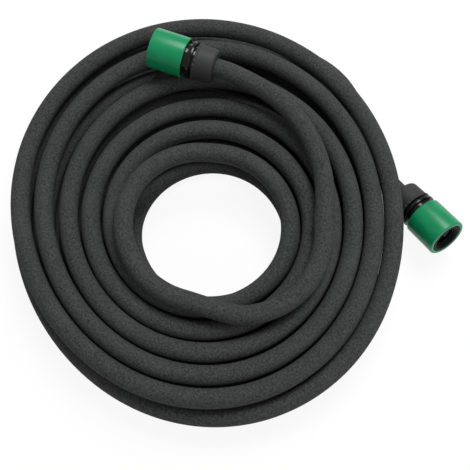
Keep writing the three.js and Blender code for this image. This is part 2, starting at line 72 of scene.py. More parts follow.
# ---------- Hose ----------
# One 12.5 m length of porous hose, extruded from crumbed rubber, so its skin is dull and
# grainy. It is wound inwards and outwards in three layers and lies under its own weight.

HOSE_DIAMETER = 16.0
HOSE_RADIUS = HOSE_DIAMETER / 2
LAYER_RISE = 16.45
FIRST_LAYER_HEIGHT = 6.4
COIL_CENTRE = Vector((19.5, -27.1, 0))
OUTER_RADIUS, OUTER_SHIFT, OUTER_OVAL = 168.8, 27.9, 9.1
EYE_RADIUS, EYE_SHIFT, EYE_OVAL = 62.7, 7.3, -1.3
BULGE_ANGLE = 142.1
COIL_LAYERS = 3
TURNS_PER_LAYER = 5.345
TURNS_ABOVE_TOP = 0.465
COIL_START_ANGLE = 115
CLIMB_TURNS = 0.5
STEPS_PER_TURN = 24
RING_SPACING = 4
RING_SIDES = 20

# Neighbouring turns of a layer keep a clearance, and lean to one side by a share of the room
# left over. The lean is even in the two lower layers, and on top it is the sum of two waves,
# each with its size, pace and start. It dies out over a fifth of the way at both edges.
TURN_CLEARANCE = 0.3
BOTTOM_LAYER_LEAN = -0.35
MIDDLE_LAYER_LEAN = -0.45
TOP_LAYER_WAVES = ((0.2, 1.81, 5.12), (0.22, 7.63, 4.24))
LEAN_FADE = 1 / 5

# Along each connector from its mouth: the hose's end, the straight hose that follows it, and
# the end of the nut.
HOSE_SEAT = 40.2
STRAIGHT_HOSE = 30
STRAIGHT_STEPS = 3
NUT_END = 57.1

# Free ends of the hose: angle round the coil, share of the way from the eye to the outermost
# turn, and height in hose diameters.
UPPER_STRETCH = [
    (328.1, 0.229, 3.49),
    (341.5, 0.285, 3.5),
    (354.7, 0.326, 3.51),
    (7.2, 0.348, 3.52),
    (19.2, 0.349, 3.54),
    (31.3, 0.333, 3.55),
    (43.1, 0.311, 3.55),
    (53.9, 0.332, 3.56),
    (63.9, 0.364, 3.58),
    (73.5, 0.392, 3.61),
    (82.5, 0.418, 3.65),
    (91.1, 0.441, 3.71),
    (99.5, 0.459, 3.79),
    (107.6, 0.473, 3.88),
    (115.5, 0.487, 3.97),
]
LOWER_STRETCH = [
    (102.8, 1.09, 0.41),
    (97.6, 1.114, 0.43),
    (92.4, 1.115, 0.45),
    (87.3, 1.092, 0.46),
    (81.8, 1.052, 0.45),
    (76.2, 1.016, 0.42),
    (70.1, 0.999, 0.4),
    (63.6, 1.022, 0.45),
]
# End of each connector's nut: angle round the coil, distance beyond the outermost turn,
# height, heading of the mouth and the angle by which it tips up.
CONNECTORS = {
    "upper": (128.2, -63.4, 64.8, 199.9, 0),
    "lower": (54.3, 13.1, 14.551, -17, 18),
}


def coil_radii(angle):
    """Radii of the outermost and the innermost turn at an angle round the coil."""
    from_bulge = math.radians(angle - BULGE_ANGLE)
    shifted, oval = math.cos(from_bulge), math.cos(2 * from_bulge)
    return (OUTER_RADIUS + OUTER_SHIFT * shifted + OUTER_OVAL * oval,
            EYE_RADIUS + EYE_SHIFT * shifted + EYE_OVAL * oval)


def round_coil(angle, radius, height):
    """A point at an angle and a radius round the coil's centre."""
    turn = math.radians(angle)
    return COIL_CENTRE + Vector((radius * math.cos(turn), radius * math.sin(turn), height))


def coil_point(turns):
    """The middle of the hose after a number of turns from the coil's start."""
    angle = COIL_START_ANGLE + 360 * turns
    outer, eye = coil_radii(angle)
    sweep = (turns / TURNS_PER_LAYER) % 2
    inward = sweep if sweep <= 1 else 2 - sweep
    height = FIRST_LAYER_HEIGHT
    for climb in range(1, COIL_LAYERS + 1):
        start = climb * TURNS_PER_LAYER - CLIMB_TURNS / 2
        share = min(max((turns - start) / CLIMB_TURNS, 0), 1)
        height += LAYER_RISE * share * share * (3 - 2 * share)
    slack = (outer - eye) / TURNS_PER_LAYER - HOSE_DIAMETER - TURN_CLEARANCE
    if turns < TURNS_PER_LAYER:
        lean = BOTTOM_LAYER_LEAN
    elif turns < 2 * TURNS_PER_LAYER:
        lean = MIDDLE_LAYER_LEAN
    else:
        lean = sum(size * math.sin(pace * turns + start)
                   for size, pace, start in TOP_LAYER_WAVES)
    settled = min(1, inward / LEAN_FADE, (1 - inward) / LEAN_FADE)
    radius = outer + (eye - outer) * inward + slack * lean * settled
    return round_coil(angle, radius, height)


def stretch_point(angle, share, diameters):
    """A point of a free end, from a share of the way out and a height in hose diameters."""
    outer, eye = coil_radii(angle)
    return round_coil(angle, eye + (outer - eye) * share, diameters * HOSE_DIAMETER)


def connector_place(side):
    """Matrix from millimetres along a connector, mouth first, to metres in the part."""
    angle, beyond, height, heading, tip = CONNECTORS[side]
    toward, rise = math.radians(heading), math.radians(tip)
    to_hose = -Vector((math.cos(rise) * math.cos(toward),
                       math.cos(rise) * math.sin(toward),
                       math.sin(rise)))
    level = Vector((0, 0, 1)).cross(to_hose).normalized()
    axes = Matrix((level, to_hose.cross(level), to_hose)).transposed().to_4x4()
    nut_end = round_coil(angle, coil_radii(angle)[0] + beyond, height)
    place = Matrix.Translation(nut_end - NUT_END * to_hose) @ axes
    return Matrix.Scale(MM, 4) @ place


def smooth_route(points, spacing):
    """Evenly spaced points on one smooth curve through the given ones."""
    ends = [2 * points[0] - points[1], *points, 2 * points[-1] - points[-2]]
    dense = []
    for p0, p1, p2, p3 in zip(ends, ends[1:], ends[2:], ends[3:]):
        t0, t1, t2 = ((b - a).length ** 0.5 for a, b in ((p0, p1), (p1, p2), (p2, p3)))
        leave = ((p1 - p0) / t0 - (p2 - p0) / (t0 + t1) + (p2 - p1) / t1) * t1
        arrive = ((p2 - p1) / t1 - (p3 - p1) / (t1 + t2) + (p3 - p2) / t2) * t1
        steps = max(round((p2 - p1).length), 1)
        for step in range(steps):
            t = step / steps
            dense.append(p1 + leave * t + (3 * (p2 - p1) - 2 * leave - arrive) * t ** 2
                         + (2 * (p1 - p2) + leave + arrive) * t ** 3)
    dense.append(points[-1])
    run = [0.0]
    for a, b in zip(dense, dense[1:]):
        run.append(run[-1] + (b - a).length)
    count = round(run[-1] / spacing)
    route, at = [], 0
    for ring in range(count + 1):
        wanted = run[-1] * ring / count
        while at < len(run) - 2 and run[at + 1] < wanted:
            at += 1
        share = (wanted - run[at]) / (run[at + 1] - run[at])
        route.append(dense[at].lerp(dense[at + 1], share))
    return route, run[-1]


def straight_hose(side):
    """The hose's points from its end in a connector, straight along the connector's axis."""
    place = connector_place(side)
    return [place @ Vector((0, 0, HOSE_SEAT + STRAIGHT_HOSE * step / STRAIGHT_STEPS)) / MM
            for step in range(STRAIGHT_STEPS + 1)]


coil_turns = COIL_LAYERS * TURNS_PER_LAYER + TURNS_ABOVE_TOP
coil_steps = round(coil_turns * STEPS_PER_TURN)
coil = [coil_point(coil_turns * step / coil_steps) for step in range(coil_steps + 1)]

hose_points = [
    *straight_hose("lower"),
    *(stretch_point(*point) for point in reversed(LOWER_STRETCH)),
    *coil,
    *(stretch_point(*point) for point in UPPER_STRETCH),
    *reversed(straight_hose("upper")),
]
hose_route, hose_length = smooth_route(hose_points, RING_SPACING)

hose_curve = bpy.data.curves.new("hose_route", "CURVE")
hose_curve.dimensions = "3D"
hose_curve.twist_mode = "Z_UP"
hose_curve.bevel_depth = HOSE_RADIUS * MM
hose_curve.bevel_resolution = RING_SIDES // 2 - 2
hose_curve.use_fill_caps = True
hose_spline = hose_curve.splines.new("POLY")
hose_spline.points.add(len(hose_route) - 1)
for spline_point, centre in zip(hose_spline.points, hose_route):
    spline_point.co = (*(centre * MM), 1)
hose_line = bpy.data.objects.new("hose_route", hose_curve)
bpy.context.scene.collection.objects.link(hose_line)
hose_mesh = bpy.data.meshes.new_from_object(
    hose_line.evaluated_get(bpy.context.evaluated_depsgraph_get()))
bpy.data.objects.remove(hose_line)

# The hose is pressed flat where it lies on the floor.
hose_bm = bmesh.new()
hose_bm.from_mesh(hose_mesh)
for corner in hose_bm.verts:
    corner.co.z = max(corner.co.z, 0)
for face in hose_bm.faces:
    face.smooth = True
hose_bm.to_mesh(hose_mesh)
hose_bm.free()
hose_mesh.name = "hose"
hose = bpy.data.objects.new("hose", hose_mesh)
bpy.context.scene.collection.objects.link(hose)


RUBBER_DARK = (0.012, 0.0122, 0.0122, 1)
RUBBER_LIGHT = (0.064, 0.067, 0.0655, 1)
RUBBER_DUST = (0.06, 0.062, 0.061, 1)


def new_finish(name):
    """A material with its node tree and its shader."""
    finish = bpy.data.materials.new(name)
    finish.use_nodes = True
    return finish, finish.node_tree, finish.node_tree.nodes["Principled BSDF"]


def feed(tree, socket, value):
    """Gives a socket its number or colour, or links it to another node's output."""
    if isinstance(value, bpy.types.NodeSocket):
        tree.links.new(value, socket)
    else:
        socket.default_value = value


def noise(tree, scale, detail=2, roughness=0.5, distortion=0):
    """Uneven clouds that stay with the piece, so many of them to the metre."""
    place = tree.nodes.new("ShaderNodeTexCoord")
    cloud = tree.nodes.new("ShaderNodeTexNoise")
    feed(tree, cloud.inputs["Vector"], place.outputs["Object"])
    feed(tree, cloud.inputs["Scale"], scale)
    feed(tree, cloud.inputs["Detail"], detail)
    feed(tree, cloud.inputs["Roughness"], roughness)
    feed(tree, cloud.inputs["Distortion"], distortion)
    return cloud.outputs["Fac"]


def crumbs(tree, scale):
    """Round grains that stay with the piece, as the distance from each grain's middle."""
    place = tree.nodes.new("ShaderNodeTexCoord")
    grains = tree.nodes.new("ShaderNodeTexVoronoi")
    feed(tree, grains.inputs["Vector"], place.outputs["Object"])
    feed(tree, grains.inputs["Scale"], scale)
    return grains.outputs["Distance"]


def brought_to(tree, value, low, high, seen_low=0, seen_high=1):
    """A pattern's value brought from the range where it is seen to another range."""
    ranged = tree.nodes.new("ShaderNodeMapRange")
    feed(tree, ranged.inputs["Value"], value)
    feed(tree, ranged.inputs["From Min"], seen_low)
    feed(tree, ranged.inputs["From Max"], seen_high)
    feed(tree, ranged.inputs["To Min"], low)
    feed(tree, ranged.inputs["To Max"], high)
    return ranged.outputs["Result"]


def mixed_colour(tree, share, first, second):
    """A colour between two others, with a share of the second."""
    mix = tree.nodes.new("ShaderNodeMix")
    mix.data_type = "RGBA"
    feed(tree, mix.inputs["Factor"], share)
    feed(tree, mix.inputs["A"], first)
    feed(tree, mix.inputs["B"], second)
    return mix.outputs["Result"]


def worked_out(tree, operation, *terms):
    """One step of arithmetic between numbers and other nodes' outputs."""
    step = tree.nodes.new("ShaderNodeMath")
    step.operation = operation
    for socket, term in zip(step.inputs, terms):
        feed(tree, socket, term)
    return step.outputs["Value"]


def roughen(tree, shader, height, strength, depth):
    """Raises a pattern's light parts from the skin, by a depth in metres."""
    bump = tree.nodes.new("ShaderNodeBump")
    feed(tree, bump.inputs["Height"], height)
    feed(tree, bump.inputs["Strength"], strength)
    feed(tree, bump.inputs["Distance"], depth)
    feed(tree, shader.inputs["Normal"], bump.outputs["Normal"])


def rubber_finish():
    """Crumbed rubber: dark grey grains bonded together, dull and slightly dusty."""
    finish, tree, shader = new_finish("porous_rubber")
    mottle = noise(tree, 620, detail=4, roughness=0.7)
    bonded = mixed_colour(tree, brought_to(tree, mottle, 0, 1, 0.32, 0.68),
                          RUBBER_DARK, RUBBER_LIGHT)
    dust = brought_to(tree, noise(tree, 28, detail=3), 0, 0.3, 0.45, 0.75)
    feed(tree, shader.inputs["Base Color"], mixed_colour(tree, dust, bonded, RUBBER_DUST))
    shader.inputs["Roughness"].default_value = 0.92
    shader.inputs["Specular IOR Level"].default_value = 0.25
    pores = worked_out(tree, "MULTIPLY_ADD", crumbs(tree, 1000), 0.6, mottle)
    roughen(tree, shader, pores, strength=0.7, depth=0.0006)
    return finish


hose_mesh.materials.clear()
hose_mesh.materials.append(rubber_finish())
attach(hose, "hose")
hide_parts("hose_coil", "upper_hose_end", "lower_hose_end")


# ---------- Connector bodies ----------
# One black moulding each: socket tube, spring shoulder, flange, threaded neck for the nut,
# and a barbed stem that the hose is pushed over. Four windows let the claws through. Heights
# are measured from the mouth.

SIDES = ("upper", "lower")
FIT = 0.3
RUNNING_FIT = 0.4
TURNED_STEPS = 96
SHARP_CORNER = 38
SAME_HEIGHT = 1e-4
CUT_TOLERANCE = 1e-5

TUBE_RADIUS = 11.7
TUBE_FRONT = 3.3
SOCKET_RADIUS = 9.0
SOCKET_STEP = 13.5
SOCKET_FLOOR = 22.0
SEAL_BORE_RADIUS = 7.9
SEAL_GROOVE_RADIUS = 10.1
SEAL_GROOVE_FRONT = 15.0
SEAL_GROOVE_BACK = 18.1
SHOULDER_RADIUS = 14.9
SHOULDER_FRONT = 27.1
SHOULDER_BACK = 29.5
WAIST_RADIUS = 13.0
FLANGE_RADIUS = 16.2
FLANGE_FRONT = 35.0
FLANGE_BACK = 37.6
NECK_RADIUS = 12.4
NECK_END = 48.2
NECK_CHAMFER = 1.0
POCKET_RADIUS = 10.6
POCKET_FLOOR = HOSE_SEAT - FIT
STEM_RADIUS = 5.8
STEM_BORE_RADIUS = 4.2
STEM_PLAIN = 4.5
BARBS = 4
BARB_PITCH = 3
BARB_DEPTH = 0.6
STEM_END = POCKET_FLOOR + STEM_PLAIN + BARBS * BARB_PITCH
BODY_EDGE = 0.25

CLAWS = 4
WINDOW_WIDTH = 6.6
WINDOW_FRONT = 5.8
WINDOW_BACK = 9.5
# The tube's faces further out than this, along a window's own axis, are on its side.
WINDOW_SIDE = 6

THREAD_START = 40.9
THREAD_END = 46.5
THREAD_PITCH = 3.0
THREAD_HEIGHT = 0.28
THREAD_ROOT_WIDTH = 1.5
THREAD_CREST_WIDTH = 0.5
THREAD_SUNK = 0.2
THREAD_STEPS = 64

NYLON_BLACK = (0.004, 0.0042, 0.0045, 1)
NYLON_WORN = (0.01, 0.0105, 0.011, 1)


def turned_piece(outline, steps=TURNED_STEPS, edge=0.0, sharp=30):
    """A ring turned about the axis from a closed outline of (radius, height).

    Its rims that are sharper than an angle in degrees are rounded over an edge's width.
    """
    bm = bmesh.new()
    corners = [bm.verts.new((radius, 0, height)) for radius, height in outline]
    for a, b in zip(corners, corners[1:] + corners[:1]):
        bm.edges.new((a, b))
    bmesh.ops.spin(bm, geom=bm.verts[:] + bm.edges[:], cent=(0, 0, 0), axis=(0, 0, 1),
                   angle=2 * math.pi, steps=steps, use_merge=True)
    bmesh.ops.recalc_face_normals(bm, faces=bm.faces)
    if edge:
        creases = [e for e in bm.edges
                   if abs(e.verts[0].co.z - e.verts[1].co.z) < SAME_HEIGHT
                   and e.calc_face_angle(0) > math.radians(sharp)]
        bmesh.ops.bevel(bm, geom=creases, offset=edge, offset_type="OFFSET", segments=3,
                        profile=0.5, affect="EDGES", material=-1, clamp_overlap=True)
    return bm


def settled_piece(bm, name, place, material):
    """Puts a finished mesh in its place in the part and gives it its material."""
    bmesh.ops.transform(bm, matrix=place, verts=bm.verts)
    for face in bm.faces:
        face.smooth = True
    mesh = bpy.data.meshes.new(name)
    bm.to_mesh(mesh)
    bm.free()
    mesh.set_sharp_from_angle(angle=math.radians(SHARP_CORNER))
    mesh.materials.append(material)
    piece = bpy.data.objects.new(name, mesh)
    bpy.context.scene.collection.objects.link(piece)
    return piece


def moulding_finish():
    """Glossy black nylon with faint handling marks."""
    finish, tree, shader = new_finish("black_moulding")
    wear = noise(tree, 240, detail=5)
    feed(tree, shader.inputs["Base Color"], mixed_colour(tree, wear, NYLON_BLACK, NYLON_WORN))
    feed(tree, shader.inputs["Roughness"], brought_to(tree, wear, 0.08, 0.22))
    shader.inputs["Specular IOR Level"].default_value = 0.3
    roughen(tree, shader, noise(tree, 2600, detail=3), strength=0.25, depth=0.0001)
    return finish


def body_outline():
    """Half section of the moulding, from the tube's end round the outside to the socket."""
    stem_root = STEM_RADIUS - BARB_DEPTH
    barb_starts = [POCKET_FLOOR + STEM_PLAIN + BARB_PITCH * barb for barb in range(BARBS)]
    return [
        (TUBE_RADIUS, TUBE_FRONT), (TUBE_RADIUS, WINDOW_FRONT), (TUBE_RADIUS, WINDOW_BACK),
        (TUBE_RADIUS, SHOULDER_FRONT), (SHOULDER_RADIUS, SHOULDER_FRONT),
        (SHOULDER_RADIUS, SHOULDER_BACK), (WAIST_RADIUS, SHOULDER_BACK),
        (WAIST_RADIUS, FLANGE_FRONT), (FLANGE_RADIUS, FLANGE_FRONT),
        (FLANGE_RADIUS, FLANGE_BACK), (NECK_RADIUS, FLANGE_BACK),
        (NECK_RADIUS, NECK_END - NECK_CHAMFER), (NECK_RADIUS - NECK_CHAMFER, NECK_END),
        (POCKET_RADIUS, NECK_END), (POCKET_RADIUS, POCKET_FLOOR), (stem_root, POCKET_FLOOR),
        *((radius, start) for start in barb_starts for radius in (stem_root, STEM_RADIUS)),
        (stem_root, STEM_END), (STEM_BORE_RADIUS, STEM_END),
        (STEM_BORE_RADIUS, SOCKET_FLOOR), (SEAL_BORE_RADIUS, SOCKET_FLOOR),
        (SEAL_BORE_RADIUS, SEAL_GROOVE_BACK), (SEAL_GROOVE_RADIUS, SEAL_GROOVE_BACK),
        (SEAL_GROOVE_RADIUS, SEAL_GROOVE_FRONT), (SEAL_BORE_RADIUS, SEAL_GROOVE_FRONT),
        (SEAL_BORE_RADIUS, SOCKET_STEP),
        (SOCKET_RADIUS, SOCKET_STEP - SOCKET_RADIUS + SEAL_BORE_RADIUS),
        (SOCKET_RADIUS, WINDOW_BACK), (SOCKET_RADIUS, WINDOW_FRONT),
        (SOCKET_RADIUS, TUBE_FRONT),
    ]


def window_band(bm, axis):
    """Faces of the socket tube between a window's ends, on the side of its axis."""
    return [face for face in bm.faces
            if WINDOW_FRONT < face.calc_center_median().z < WINDOW_BACK
            and face.calc_center_median().dot(axis) > WINDOW_SIDE]


def cut_windows(bm):
    """Four oblong windows for the claws, through the wall of the socket tube."""
    for claw in range(CLAWS):
        angle = 2 * math.pi * (claw + 0.5) / CLAWS
        axis = Vector((math.cos(angle), math.sin(angle), 0))
        across = Vector((-axis.y, axis.x, 0))
        for edge_side in (-1, 1):
            cut = {}
            for face in window_band(bm, axis):
                cut.update(dict.fromkeys((face, *face.edges, *face.verts)))
            bmesh.ops.bisect_plane(bm, geom=list(cut), dist=CUT_TOLERANCE,
                                   plane_co=across * edge_side * WINDOW_WIDTH / 2,
                                   plane_no=across)
        opened = [face for face in window_band(bm, axis)
                  if abs(face.calc_center_median().dot(across)) < WINDOW_WIDTH / 2]
        bmesh.ops.delete(bm, geom=opened, context="FACES")
        bmesh.ops.bridge_loops(bm, edges=[edge for edge in bm.edges if edge.is_boundary])
    bmesh.ops.recalc_face_normals(bm, faces=bm.faces)


def neck_thread():
    """Screw ridge round the neck, sunk a little into it, with square ends."""
    turns = (THREAD_END - THREAD_START) / THREAD_PITCH
    steps = round(THREAD_STEPS * turns)
    root, crest = NECK_RADIUS - THREAD_SUNK, NECK_RADIUS + THREAD_HEIGHT
    bm = bmesh.new()
    section = bm.faces.new([bm.verts.new((radius, 0, THREAD_START + height))
                            for radius, height in ((root, -THREAD_ROOT_WIDTH / 2),
                                                   (root, THREAD_ROOT_WIDTH / 2),
                                                   (crest, THREAD_CREST_WIDTH / 2),
                                                   (crest, -THREAD_CREST_WIDTH / 2))])
    bmesh.ops.spin(bm, geom=[section, *section.edges, *section.verts], cent=(0, 0, 0),
                   axis=(0, 0, 1), dvec=(0, 0, (THREAD_END - THREAD_START) / steps),
                   angle=2 * math.pi * turns, steps=steps)
    bmesh.ops.recalc_face_normals(bm, faces=bm.faces)
    return bm


black_moulding = moulding_finish()
for side in SIDES:
    body_bm = turned_piece(body_outline(), edge=BODY_EDGE)
    cut_windows(body_bm)
    thread_mesh = bpy.data.meshes.new("thread")
    thread_bm = neck_thread()
    thread_bm.to_mesh(thread_mesh)
    thread_bm.free()
    body_bm.from_mesh(thread_mesh)
    bpy.data.meshes.remove(thread_mesh)
    body = settled_piece(body_bm, f"{side}_body", connector_place(side), black_moulding)
    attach(body, "hose")
    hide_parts(f"{side}_connector_body")


# ---------- Nose rings ----------
# A dull black ring is pressed on the end of each socket tube. It guides the spigot into the
# mouth, and the collar's cam stops against its back.

MOUTH_RADIUS = 11.6
NOSE_RING_WALL = 1.7
NOSE_RING_BORE = TUBE_RADIUS + FIT
NOSE_RING_RADIUS = NOSE_RING_BORE + NOSE_RING_WALL
NOSE_RING_LENGTH = 5.2
NOSE_RING_FACE = TUBE_FRONT - FIT
NOSE_RING_EDGE = 0.35


def nose_finish():
    """Dull black nylon, rubbed a little by the spigot."""
    finish, tree, shader = new_finish("nose_nylon")
    feed(tree, shader.inputs["Roughness"], brought_to(tree, noise(tree, 420), 0.45, 0.65))
    shader.inputs["Base Color"].default_value = NYLON_BLACK
    shader.inputs["Specular IOR Level"].default_value = 0.1
    return finish


nose_nylon = nose_finish()
for side in SIDES:
    ring_bm = turned_piece([(MOUTH_RADIUS, 0), (NOSE_RING_RADIUS, 0),
                            (NOSE_RING_RADIUS, NOSE_RING_LENGTH),
                            (NOSE_RING_BORE, NOSE_RING_LENGTH),
                            (NOSE_RING_BORE, NOSE_RING_FACE),
                            (SOCKET_RADIUS + FIT, NOSE_RING_FACE)], edge=NOSE_RING_EDGE)
    nose = settled_piece(ring_bm, f"{side}_nose", connector_place(side), nose_nylon)
    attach(nose, "hose")
    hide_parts(f"{side}_nose_ring")


# ---------- Release collars ----------
# Each collar is a glossy green moulding that slides back against its spring to let the
# spigot go. Its rims are rounded, and a cam inside holds the claws in.

COLLAR_RADIUS = 17.2
COLLAR_LENGTH = 30.5
COLLAR_EDGE = 1.1
COLLAR_INNER_EDGE = 0.25
COLLAR_BORE = NOSE_RING_RADIUS + RUNNING_FIT
COLLAR_STEPS = 128
CHAMBER_RADIUS = SHOULDER_RADIUS + RUNNING_FIT
CAM_LENGTH = 5.1
CAM_RISE = 1.21
CAM_FRONT = NOSE_RING_LENGTH + FIT
CAM_BACK = CAM_FRONT + CAM_LENGTH
CAM_BACK_RADIUS = TUBE_RADIUS + RUNNING_FIT
ROUND_STEPS = 6
ROUNDED_CORNER = 40
COLLAR_GREEN = (0.002, 0.16, 0.06, 1)
COLLAR_LIGHT_GREEN = (0.004, 0.27, 0.105, 1)


def collar_finish():
    """Glossy green plastic with faint flow marks and fine rubbing."""
    finish, tree, shader = new_finish("green_plastic")
    flow = noise(tree, 90, detail=4, distortion=0.8)
    feed(tree, shader.inputs["Base Color"],
         mixed_colour(tree, flow, COLLAR_GREEN, COLLAR_LIGHT_GREEN))
    feed(tree, shader.inputs["Roughness"],
         brought_to(tree, noise(tree, 1300, detail=4), 0.22, 0.42))
    shader.inputs["Specular IOR Level"].default_value = 0.3
    roughen(tree, shader, flow, strength=0.12, depth=0.0002)
    return finish


def round_edge(centre_radius, centre_height, edge, start):
    """Quarter round of an outline about a centre, from a start angle in degrees."""
    turns = [math.radians(start + 90 * step / ROUND_STEPS) for step in range(ROUND_STEPS + 1)]
    return [(centre_radius + edge * math.cos(turn), centre_height + edge * math.sin(turn))
            for turn in turns]


green_plastic = collar_finish()
for side in SIDES:
    edge_radius = COLLAR_RADIUS - COLLAR_EDGE
    collar_bm = turned_piece([(COLLAR_BORE, 0),
                              *round_edge(edge_radius, COLLAR_EDGE, COLLAR_EDGE, -90),
                              *round_edge(edge_radius, COLLAR_LENGTH - COLLAR_EDGE,
                                          COLLAR_EDGE, 0),
                              (CHAMBER_RADIUS, COLLAR_LENGTH), (CHAMBER_RADIUS, CAM_BACK),
                              (CAM_BACK_RADIUS, CAM_BACK),
                              (CAM_BACK_RADIUS + CAM_RISE, CAM_FRONT),
                              (COLLAR_BORE, CAM_FRONT)],
                             steps=COLLAR_STEPS, edge=COLLAR_INNER_EDGE, sharp=ROUNDED_CORNER)
    collar = settled_piece(collar_bm, f"{side}_collar_shell", connector_place(side),
                           green_plastic)
    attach(collar, f"{side}_collar")
    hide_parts(f"{side}_release_collar")


# ---------- Locking claws ----------
# Four small acetal claws stand in the windows of each socket tube. They are moulded with a
# lead on the front and a square back, and show as four dark teeth in the mouth.

ACETAL_GREY = (0.03, 0.032, 0.035, 1)
ACETAL_LIGHT_GREY = (0.05, 0.052, 0.055, 1)


def claw_finish():
    """Charcoal acetal, smooth and waxy."""
    finish, tree, shader = new_finish("charcoal_acetal")
    feed(tree, shader.inputs["Base Color"],
         mixed_colour(tree, noise(tree, 500), ACETAL_GREY, ACETAL_LIGHT_GREY))
    shader.inputs["Roughness"].default_value = 0.35
    return finish


charcoal_acetal = claw_finish()
for side in SIDES:
    for claw in range(1, CLAWS + 1):
        claw_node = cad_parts[f"{side}_locking_claw_{claw}"]
        for claw_slot in claw_node.material_slots:
            claw_slot.material = charcoal_acetal


# ---------- Socket seals ----------
# A rubber sealing ring of round cord sits in a groove behind the claws. It is pressed in
# from the mouth and closes on the spigot's tip.

SEAL_CORD_RADIUS = 1.25
SEAL_RING_RADIUS = SEAL_GROOVE_RADIUS - FIT - SEAL_CORD_RADIUS
SEAL_MIDDLE = (SEAL_GROOVE_FRONT + SEAL_GROOVE_BACK) / 2
SEAL_SIDES = 12
SEAL_STEPS = 64
NITRILE_BLACK = (0.012, 0.012, 0.012, 1)


def seal_finish():
    """Black nitrile rubber with a moulding bloom."""
    finish, tree, shader = new_finish("black_nitrile")
    feed(tree, shader.inputs["Roughness"], brought_to(tree, noise(tree, 700), 0.45, 0.75))
    shader.inputs["Base Color"].default_value = NITRILE_BLACK
    return finish


black_nitrile = seal_finish()
seal_turns = [2 * math.pi * step / SEAL_SIDES for step in range(SEAL_SIDES)]
seal_outline = [(SEAL_RING_RADIUS + SEAL_CORD_RADIUS * math.cos(turn),
                 SEAL_MIDDLE + SEAL_CORD_RADIUS * math.sin(turn)) for turn in seal_turns]
for side in SIDES:
    seal_bm = turned_piece(seal_outline, steps=SEAL_STEPS)
    seal = settled_piece(seal_bm, f"{side}_seal", connector_place(side), black_nitrile)
    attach(seal, "hose")
    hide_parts(f"{side}_socket_seal")


# ---------- Return springs ----------
# A round-wire steel spring stands between each collar's cam and the body's shoulder. It is made
# at its resting length here; the real spring is pressed shorter when the collar is pulled back.

SPRING_RADIUS = 13.65
WIRE_RADIUS = 0.6
SPRING_SEAT = SHOULDER_FRONT - FIT
SPRING_FRONT = CAM_BACK + FIT + WIRE_RADIUS
SPRING_BACK = SPRING_SEAT - WIRE_RADIUS
SPRING_TURNS = 6
STEPS_PER_SPRING_TURN = 40
SPRING_STEPS = STEPS_PER_SPRING_TURN * SPRING_TURNS
WIRE_SIDES = 10
WIRE_STEEL = (0.5, 0.51, 0.52, 1)


def spring_finish():
    """Drawn stainless wire."""
    finish, tree, shader = new_finish("spring_wire")
    feed(tree, shader.inputs["Roughness"], brought_to(tree, noise(tree, 1500), 0.18, 0.4))
    shader.inputs["Base Color"].default_value = WIRE_STEEL
    shader.inputs["Metallic"].default_value = 1
    return finish


spring_wire = spring_finish()
for side in SIDES:
    spring_bm = bmesh.new()
    wire = bmesh.ops.create_circle(
        spring_bm, cap_ends=True, segments=WIRE_SIDES, radius=WIRE_RADIUS,
        matrix=Matrix.Translation((SPRING_RADIUS, 0, SPRING_FRONT))
        @ Matrix.Rotation(math.pi / 2, 4, "X"))
    bmesh.ops.spin(spring_bm, geom=spring_bm.faces[:] + spring_bm.edges[:] + wire["verts"],
                   cent=(0, 0, 0), axis=(0, 0, 1), angle=2 * math.pi * SPRING_TURNS,
                   dvec=(0, 0, (SPRING_BACK - SPRING_FRONT) / SPRING_STEPS),
                   steps=SPRING_STEPS)
    bmesh.ops.recalc_face_normals(spring_bm, faces=spring_bm.faces)
    place = connector_place(side)
    spring = settled_piece(spring_bm, f"{side}_spring", place, spring_wire)
    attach(spring, "hose")
    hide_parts(f"{side}_return_spring")
    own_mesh(spring)


# ---------- Grip rings ----------
# A split ring of black nylon with inner teeth is drawn onto the hose by the nut's cone. It
# hides in the neck until the nut is taken off.

for side in SIDES:
    grip_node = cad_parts[f"{side}_grip_ring"]
    for grip_slot in grip_node.material_slots:
        grip_slot.material = black_moulding


# ---------- Hose nuts ----------
# The black nut screws on the neck over the hose. A notched rim for the fingers runs round
# its front, and its smooth skirt ends in a round edge towards the hose.

NUT_NECK_GAP = 2
NUT_WALL = 2.5
NUT_TAPER = 0.5
NUT_FRONT = FLANGE_BACK + NUT_NECK_GAP
NUT_BORE = NECK_RADIUS + RUNNING_FIT
NUT_RADIUS = NUT_BORE + NUT_WALL
NUT_RIM = 0.6
NUT_RIM_WIDTH = 2.4
NUT_END_RADIUS = NUT_RADIUS - NUT_TAPER
NUT_END_EDGE = 2.4
NUT_EDGE = 0.15
NUT_HOSE_BORE = HOSE_RADIUS + RUNNING_FIT
CONE_FRONT = 47.34
CONE_END = 53.0
CONE_END_RADIUS = 9.7
NUT_NOTCHES = 24
NUT_NOTCH_DEPTH = 0.6
NOTCH_FALL = 0.6
NOTCH_STEPS = 8
NOTCHED_RADIUS = 15.55
NUT_BLACK = (0.01, 0.0103, 0.0106, 1)
NUT_GREY = (0.022, 0.0225, 0.0225, 1)


def nut_finish():
    """Dull black nylon, a little grey from handling."""
    finish, tree, shader = new_finish("nut_nylon")
    feed(tree, shader.inputs["Base Color"],
         mixed_colour(tree, noise(tree, 160, detail=4), NUT_BLACK, NUT_GREY))
    shader.inputs["Roughness"].default_value = 0.66
    roughen(tree, shader, noise(tree, 1800, detail=4), strength=0.4, depth=0.00015)
    return finish


def notch_rim(bm):
    """Presses finger notches into the rim, each a flat wave between two ridges."""
    for corner in bm.verts:
        radius = math.hypot(corner.co.x, corner.co.y)
        if radius > NOTCHED_RADIUS:
            turn = math.atan2(corner.co.y, corner.co.x) * NUT_NOTCHES
            notch = NUT_NOTCH_DEPTH * max(0, -math.cos(turn)) ** NOTCH_FALL
            corner.co.xy *= (radius - notch) / radius


